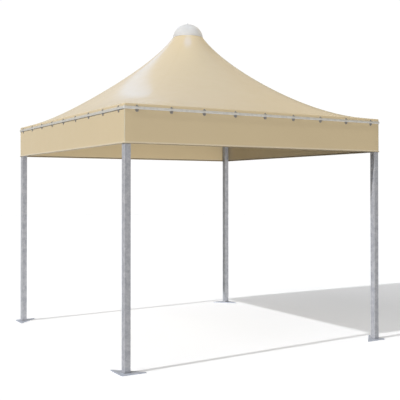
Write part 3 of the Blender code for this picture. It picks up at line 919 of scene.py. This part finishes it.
def rolled_zinc():
    """Bright zinc, drawn out along the bar by rolling, with a soft bloom over it."""
    made, tree, shader = finish("rail_steel", 0.7)
    on_bar = add(tree, "ShaderNodeUVMap", {"uv_map": "along"}).outputs["UV"]
    stretched = add(tree, "ShaderNodeMapping", Vector=on_bar, Scale=ROLLED_GRAIN).outputs["Vector"]
    drawn = noise(tree, stretched, 1, 3)
    bloom = noise(tree, add(tree, "ShaderNodeTexCoord").outputs["Object"], 24, 3)
    both = times(tree, drawn, bloom)
    tone = blended(tree, ranged(tree, both, *BLOOM_RANGE), (203, 203, 202), (224, 224, 222))
    rough = ranged(tree, both, *BLOOM_RANGE, 0.40, 0.30)
    dress(tree, shader, tone, rough, relief(tree, drawn, 0.15, 0.00005))
    return made


rail_zinc = rolled_zinc()
all_round(SIDES, "edge_rail", "rail", rail_bar(), rail_zinc, "rail_steel", smooth_angle=40)

# Rail clips
# Nine clips on each side hold the rail. Each is a phosphated steel casting: a plate against the
# cloth with a wide ear under the rail and a narrow one over it, two jaws that lap over the long
# edges of the bar, and a screw through each ear into the beam.

CLIP_COUNT = 9
CLIP_PITCH = 0.345
CLIP_LOW_RADIUS = 0.018
CLIP_HIGH_RADIUS = 0.0085
CLIP_LOW = -0.0365  # the ends of the plate, up from the middle of the rail
CLIP_HIGH = 0.0275
CLIP_THICKNESS = 0.0022
CLIP_EDGE = 0.0005
EAR_STEPS = 12
JAW_WIDTH = 0.026
JAW_WALL = 0.0025
JAW_LAP = 0.0020
JAW_ROUNDING = 0.0014
JAW_CUT = 0.3  # how far in the middle of the jaw's rounding lies, as a share of its radius
SLOT_PLAY = 0.0001
SCREW_RADIUS = 0.0062
SCREW_HEIGHT = 0.0050
SCREW_SHAPE = ((1, 0), (1, 0.35), (0.88, 0.72), (0.62, 0.95), (0.30, 1))  # shares of the two above
SCREW_SIDES = 16
SCREW_RECESS = 0.55
LOW_SCREW = 0.0095
HIGH_SCREW = 0.0075


def row_round_tree():
    """The given shape in a row along the front, and the row on all four sides."""
    tree, given = geometry_tree("row_round", Count="Int", Pitch="Float")
    gaps = calculated(tree, "SUBTRACT", given["Count"], 1)
    half_run = times(tree, times(tree, gaps, given["Pitch"]), -0.5)
    start = add(tree, "ShaderNodeCombineXYZ", X=half_run).outputs["Vector"]
    step = add(tree, "ShaderNodeCombineXYZ", X=given["Pitch"]).outputs["Vector"]
    line = add(tree, "GeometryNodeMeshLine", Count=given["Count"], Start_Location=start, Offset=step)
    row = set_out(tree, line.outputs["Mesh"], given["Geometry"])
    return ended(tree, given, four_times(tree, row))


def clip_plate():
    """A flat plate with a wide round ear low and a narrow one high."""
    low = CLIP_LOW + CLIP_LOW_RADIUS
    high = CLIP_HIGH - CLIP_HIGH_RADIUS
    lean = math.asin((CLIP_LOW_RADIUS - CLIP_HIGH_RADIUS) / (high - low))
    outline = arc(CLIP_HIGH_RADIUS, high, EAR_STEPS, lean, math.pi - lean)
    outline += arc(CLIP_LOW_RADIUS, low, EAR_STEPS, math.pi - lean, 2 * math.pi + lean)
    bm = bmesh.new()
    face = bm.faces.new([bm.verts.new((x, -clip_back, RAIL_LEVEL + z)) for x, z in outline])
    pulled = bmesh.ops.extrude_face_region(bm, geom=[face])["geom"]
    front = [item for item in pulled if isinstance(item, bmesh.types.BMVert)]
    bmesh.ops.translate(bm, verts=front, vec=(0, -CLIP_THICKNESS, 0))
    near = [e for e in bm.edges if all(v.co.y < -clip_back - CLIP_THICKNESS / 2 for v in e.verts)]
    bmesh.ops.bevel(bm, geom=near, offset=CLIP_EDGE, segments=1, profile=0.5, affect="EDGES")
    return bm


def clip_jaws():
    """A C-shaped block on the plate, whose two jaws lap over the long edges of the bar."""
    back = clip_back + CLIP_THICKNESS
    slot_back = HALF + RAIL_STANDOFF - SLOT_PLAY
    slot_front = HALF + RAIL_STANDOFF + RAIL_THICKNESS + SLOT_PLAY
    front = HALF + RAIL_STANDOFF + RAIL_THICKNESS + JAW_WALL
    rise = RAIL_HEIGHT / 2 + JAW_WALL
    slot_rise = RAIL_HEIGHT / 2 + SLOT_PLAY
    lip = slot_rise - JAW_LAP
    cut = JAW_CUT * JAW_ROUNDING
    upper = [
        (slot_back, slot_rise),
        (slot_front, slot_rise),
        (slot_front, lip),
        (front, lip),
        (front, rise - JAW_ROUNDING),
        (front - cut, rise - cut),
        (front - JAW_ROUNDING, rise),
        (back, rise),
    ]
    outline = upper + [(out, -up) for out, up in reversed(upper)]
    bm = bmesh.new()
    ends = []
    for x in (-JAW_WIDTH / 2, JAW_WIDTH / 2):
        ends.append([bm.verts.new((x, -out, RAIL_LEVEL + up)) for out, up in outline])
        bm.faces.new(ends[-1])
    skin(bm, ends)
    return bm


def screw_head(height):
    """A pan head with a round recess, standing out of the clip plate at this height over the rail."""
    bm = bmesh.new()
    base = -clip_back - CLIP_THICKNESS
    rings = []
    for share, rise in SCREW_SHAPE:
        out = base - SCREW_HEIGHT * rise
        points = arc(SCREW_RADIUS * share, RAIL_LEVEL + height, SCREW_SIDES)[:-1]
        rings.append([bm.verts.new((across, out, up)) for across, up in points])
    skin(bm, rings)
    bm.faces.new(rings[0])
    pit = bmesh.ops.extrude_discrete_faces(bm, faces=[bm.faces.new(rings[-1])])["faces"][0]
    bmesh.ops.translate(bm, verts=pit.verts, vec=(0, SCREW_HEIGHT * SCREW_RECESS, 0))
    return bm


clip_back = HALF + FIT_GAP
clip_dark = hazed(
    "clip_steel",
    metallic=0.5,
    scale=140,
    tones=((136, 133, 131), (163, 160, 157)),
    rough=(0, 1, 0.4, 0.65),
    bump=(0.3, 0.0001),
)
row_tree = row_round_tree()
for name, shape in (
    ("clip_plates", clip_plate()),
    ("clip_jaws", clip_jaws()),
    ("low_clip_screws", screw_head(CLIP_LOW + LOW_SCREW)),
    ("high_clip_screws", screw_head(CLIP_HIGH - HIGH_SCREW)),
):
    clips = placed(name, shape, clip_dark, smooth_angle=30)
    grown(clips, row_tree, Count=CLIP_COUNT, Pitch=CLIP_PITCH, Material=clip_dark)
    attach(clips, "root")

# Dome
# A cap moulded from opal white plastic covers the open top of the cover. Its rim lies on the cloth
# over the peak ring, and a stud from the ring's boss holds it down with a washer and a round nut.

DOME_WALL = 0.003
DOME_RIM = 0.174
DOME_STEPS = 28
BOLT_HOLE = 0.005
RIM_LIFT = 0.0005
STUD_RADIUS = 0.004
WASHER_EDGE = ((0.0132, 0), (0.014, 0.0008), (0.0135, 0.0015))  # (radius, height over the cap)
NUT_RADIUS = 0.0095
NUT_BASE = 0.0016
NUT_STEPS = 9


def dome_profile():
    """(radius, height) points up the outside of the cap and down its inside."""
    rim = dome_low.z + RIM_LIFT
    rise = dome_high.z - rim
    sphere = (DOME_RIM**2 + rise**2) / (2 * rise)
    centre = dome_high.z - sphere
    faces = []
    for radius in (sphere, sphere - DOME_WALL):
        start = math.asin((rim - centre) / radius)
        end = math.acos(BOLT_HOLE / radius)
        faces.append(arc(radius, centre, DOME_STEPS, start, end))
    return faces[0] + faces[1][::-1]


dome_low, dome_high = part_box("dome_cap")
opal = hazed(
    "opal_plastic",
    metallic=0,
    scale=14,
    tones=((239, 238, 235), (244, 243, 240)),
    rough=(0, 1, 0.28, 0.42),
    bump=(0.25, 0.0006),
    Specular_IOR_Level=0.5,
    Coat_Weight=0.3,
    Coat_Roughness=0.25,
    Subsurface_Weight=0.7,
    Subsurface_Radius=(1.0, 0.98, 0.95),
    Subsurface_Scale=0.03,
)
piece("peak_dome", turned(dome_profile(), steps=96), opal, "opal_plastic", "dome_cap", smooth_angle=35)

stud_low, stud_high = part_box("dome_bolt")
seat = dome_high.z + FIT_GAP
nut_low = seat + NUT_BASE
nut_profile = [(0, stud_low.z), (STUD_RADIUS, stud_low.z), (STUD_RADIUS, seat)]
nut_profile += [(radius, seat + rise) for radius, rise in WASHER_EDGE]
for step in range(NUT_STEPS):
    angle = step / NUT_STEPS * math.pi / 2
    height = nut_low + (stud_high.z - nut_low) * math.sin(angle)
    nut_profile.append((NUT_RADIUS * math.cos(angle), height))
nut_profile.append((0, stud_high.z))
round_nut = turned(nut_profile, steps=32, closed=False)
piece("dome_nut", round_nut, zinc_hardware, "zinc_hardware", "dome_bolt", smooth_angle=35)

# Floor, light and camera
# A white studio floor and backdrop under a soft sky. A low sun from the left is the key, wide suns
# fill in from every side, and a lamp under the roof and a spot on the dome lighten their shade.
# Three lights show only in the gloss: on the cover, round its peak and on the sides of the posts.

FLOOR_RADIUS = 38
BACKDROP_RADIUS = 40
WHITE = (1, 1, 1, 1)
SKY_BELOW = (0.90, 0.90, 0.90, 1)
SKY_LOW_LEFT = (0.67, 0.61, 0.50, 1)
SKY_LOW_RIGHT = (0.35, 0.30, 0.18, 1)
SKY_MID_LEFT = (0.82, 0.79, 0.76, 1)
SKY_MID_RIGHT = (0.83, 0.67, 0.42, 1)
SKY_HIGH = (0.63, 0.73, 0.81, 1)
HORIZON_BAND = (-0.08, 0.04)
LOW_BAND = (0.22, 0.46)
HIGH_BAND = (0.66, 0.88)
RIGHT_BAND = (0.50, 0.74)
MIDDLE = (0, 0, 0)


def stage(name, bm, material, *unseen):
    """A part of the studio, which adds nothing to these kinds of light."""
    obj = placed(name, bm, material)
    for kind in unseen:
        setattr(obj, f"visible_{kind}", False)


def light(name, kind, energy, place, aim, unseen, **settings):
    """A lamp turned to its aim, which adds nothing to one kind of light: diffuse or glossy."""
    lamp = bpy.data.lights.new(name, kind)
    lamp.energy = energy
    for key, value in settings.items():
        setattr(lamp, key, value)
    obj = bpy.data.objects.new(name, lamp)
    bpy.context.scene.collection.objects.link(obj)
    obj.location = place
    obj.rotation_euler = (Vector(aim) - Vector(place)).to_track_quat("-Z", "Y").to_euler()
    obj.visible_camera = False
    setattr(obj, f"visible_{unseen}", False)


def sun(name, energy, place, width, unseen="glossy", color=WHITE[:3]):
    """A sun that shines from the place on the middle of the floor, this many degrees wide."""
    light(name, "SUN", energy, place, MIDDLE, unseen, angle=math.radians(width), color=color)


floor_paint, _, _ = finish(
    "studio_floor",
    0,
    Base_Color=(0.86, 0.867, 0.884, 1),
    Specular_IOR_Level=0.0,
    Roughness=1.0,
    Emission_Color=WHITE,
    Emission_Strength=0.362,
)
floor_bm = bmesh.new()
bmesh.ops.create_circle(floor_bm, cap_ends=True, segments=96, radius=FLOOR_RADIUS)
stage("studio_floor", floor_bm, floor_paint, "diffuse", "glossy", "shadow")

backdrop_paint = bpy.data.materials.new("studio_backdrop")
backdrop_paint.use_nodes = True
backdrop_tree = backdrop_paint.node_tree
backdrop_tree.nodes.clear()
glow = add(backdrop_tree, "ShaderNodeEmission", Color=WHITE, Strength=1.02)
add(backdrop_tree, "ShaderNodeOutputMaterial", Surface=glow.outputs["Emission"])
backdrop_bm = bmesh.new()
bmesh.ops.create_uvsphere(backdrop_bm, u_segments=48, v_segments=24, radius=BACKDROP_RADIUS)
all_kinds = ("diffuse", "glossy", "transmission", "volume_scatter", "shadow")
stage("studio_backdrop", backdrop_bm, backdrop_paint, *all_kinds)

sky = bpy.data.worlds.new("studio_sky")
sky.use_nodes = True
bpy.context.scene.world = sky
sky.cycles_visibility.diffuse = False
sky_tree = sky.node_tree
sky_place = add(sky_tree, "ShaderNodeTexCoord").outputs["Generated"]
sky_way = add(sky_tree, "ShaderNodeSeparateXYZ", Vector=sky_place)
up = sky_way.outputs["Z"]
rightward = ranged(sky_tree, sky_way.outputs["X"], *RIGHT_BAND)
low_sky = blended(sky_tree, rightward, SKY_LOW_LEFT, SKY_LOW_RIGHT)
middle_sky = blended(sky_tree, rightward, SKY_MID_LEFT, SKY_MID_RIGHT)
upper_sky = blended(sky_tree, ranged(sky_tree, up, *HIGH_BAND), middle_sky, SKY_HIGH)
whole_sky = blended(sky_tree, ranged(sky_tree, up, *LOW_BAND), low_sky, upper_sky)
seen_sky = blended(sky_tree, ranged(sky_tree, up, *HORIZON_BAND), SKY_BELOW, whole_sky)
feed(sky_tree, sky_tree.nodes["Background"].inputs["Color"], seen_sky)

sun("key", 2.44, (-7.885, -0.585, 5.0), width=1)
sun("left_soft", 1.02, (-9, -1, 6), width=50)
sun("front_soft", 1.91, (0, -9, -2), width=40, color=(1.0, 0.985, 0.96))
sun("right_soft", 0.33, (9, -3, 4), width=60)
sun("back_soft", 0.22, (2, 9, 6), width=50)
sun("overhead", 0.33, (0, 0.01, 9), width=60)
light(
    "low_fill",
    "AREA",
    32.1,
    place=(0, -1.0, -0.5),
    aim=(0, 1.5, 2.1),
    unseen="glossy",
    shape="RECTANGLE",
    size=2.4,
    size_y=0.5,
    color=(0.94, 0.97, 1.0),
)
light(
    "sheen",
    "AREA",
    15.8,
    place=(2.0, 9.6, 9.6),
    aim=(-0.9, -0.9, 2.7),
    unseen="diffuse",
    shape="DISK",
    size=3.0,
    color=(0.215, 0.51, 1.0),
)
sun("peak_sheen", 0.19, (0.27, 0.47, 9), width=19, unseen="diffuse", color=(0.06, 0.38, 1.0))
light(
    "peak_fill",
    "SPOT",
    38,
    place=(1.7, -1.1, 4.0),
    aim=(0.04, -0.02, 3.47),
    unseen="glossy",
    shadow_soft_size=0.1,
    spot_size=math.radians(16),
    spot_blend=0.4,
)
sun("post_glint", 0.35, (-9, 4.5, 2.0), width=30, unseen="diffuse")

camera_data = bpy.data.cameras.new("camera")
camera_data.sensor_width = 36
camera_data.lens = 65.44
camera_data.shift_x = 0.03166
camera_data.shift_y = -0.0444
camera_data.clip_end = 200
camera = bpy.data.objects.new("camera", camera_data)
bpy.context.scene.collection.objects.link(camera)
camera.location = (-4.1706, -7.2281, 1.6007)
camera.rotation_euler = (math.radians(90.572), 0, math.radians(-29.948))
bpy.context.scene.camera = camera
bpy.context.scene.view_settings.view_transform = "Standard"
bpy.context.scene.view_settings.look = "None"
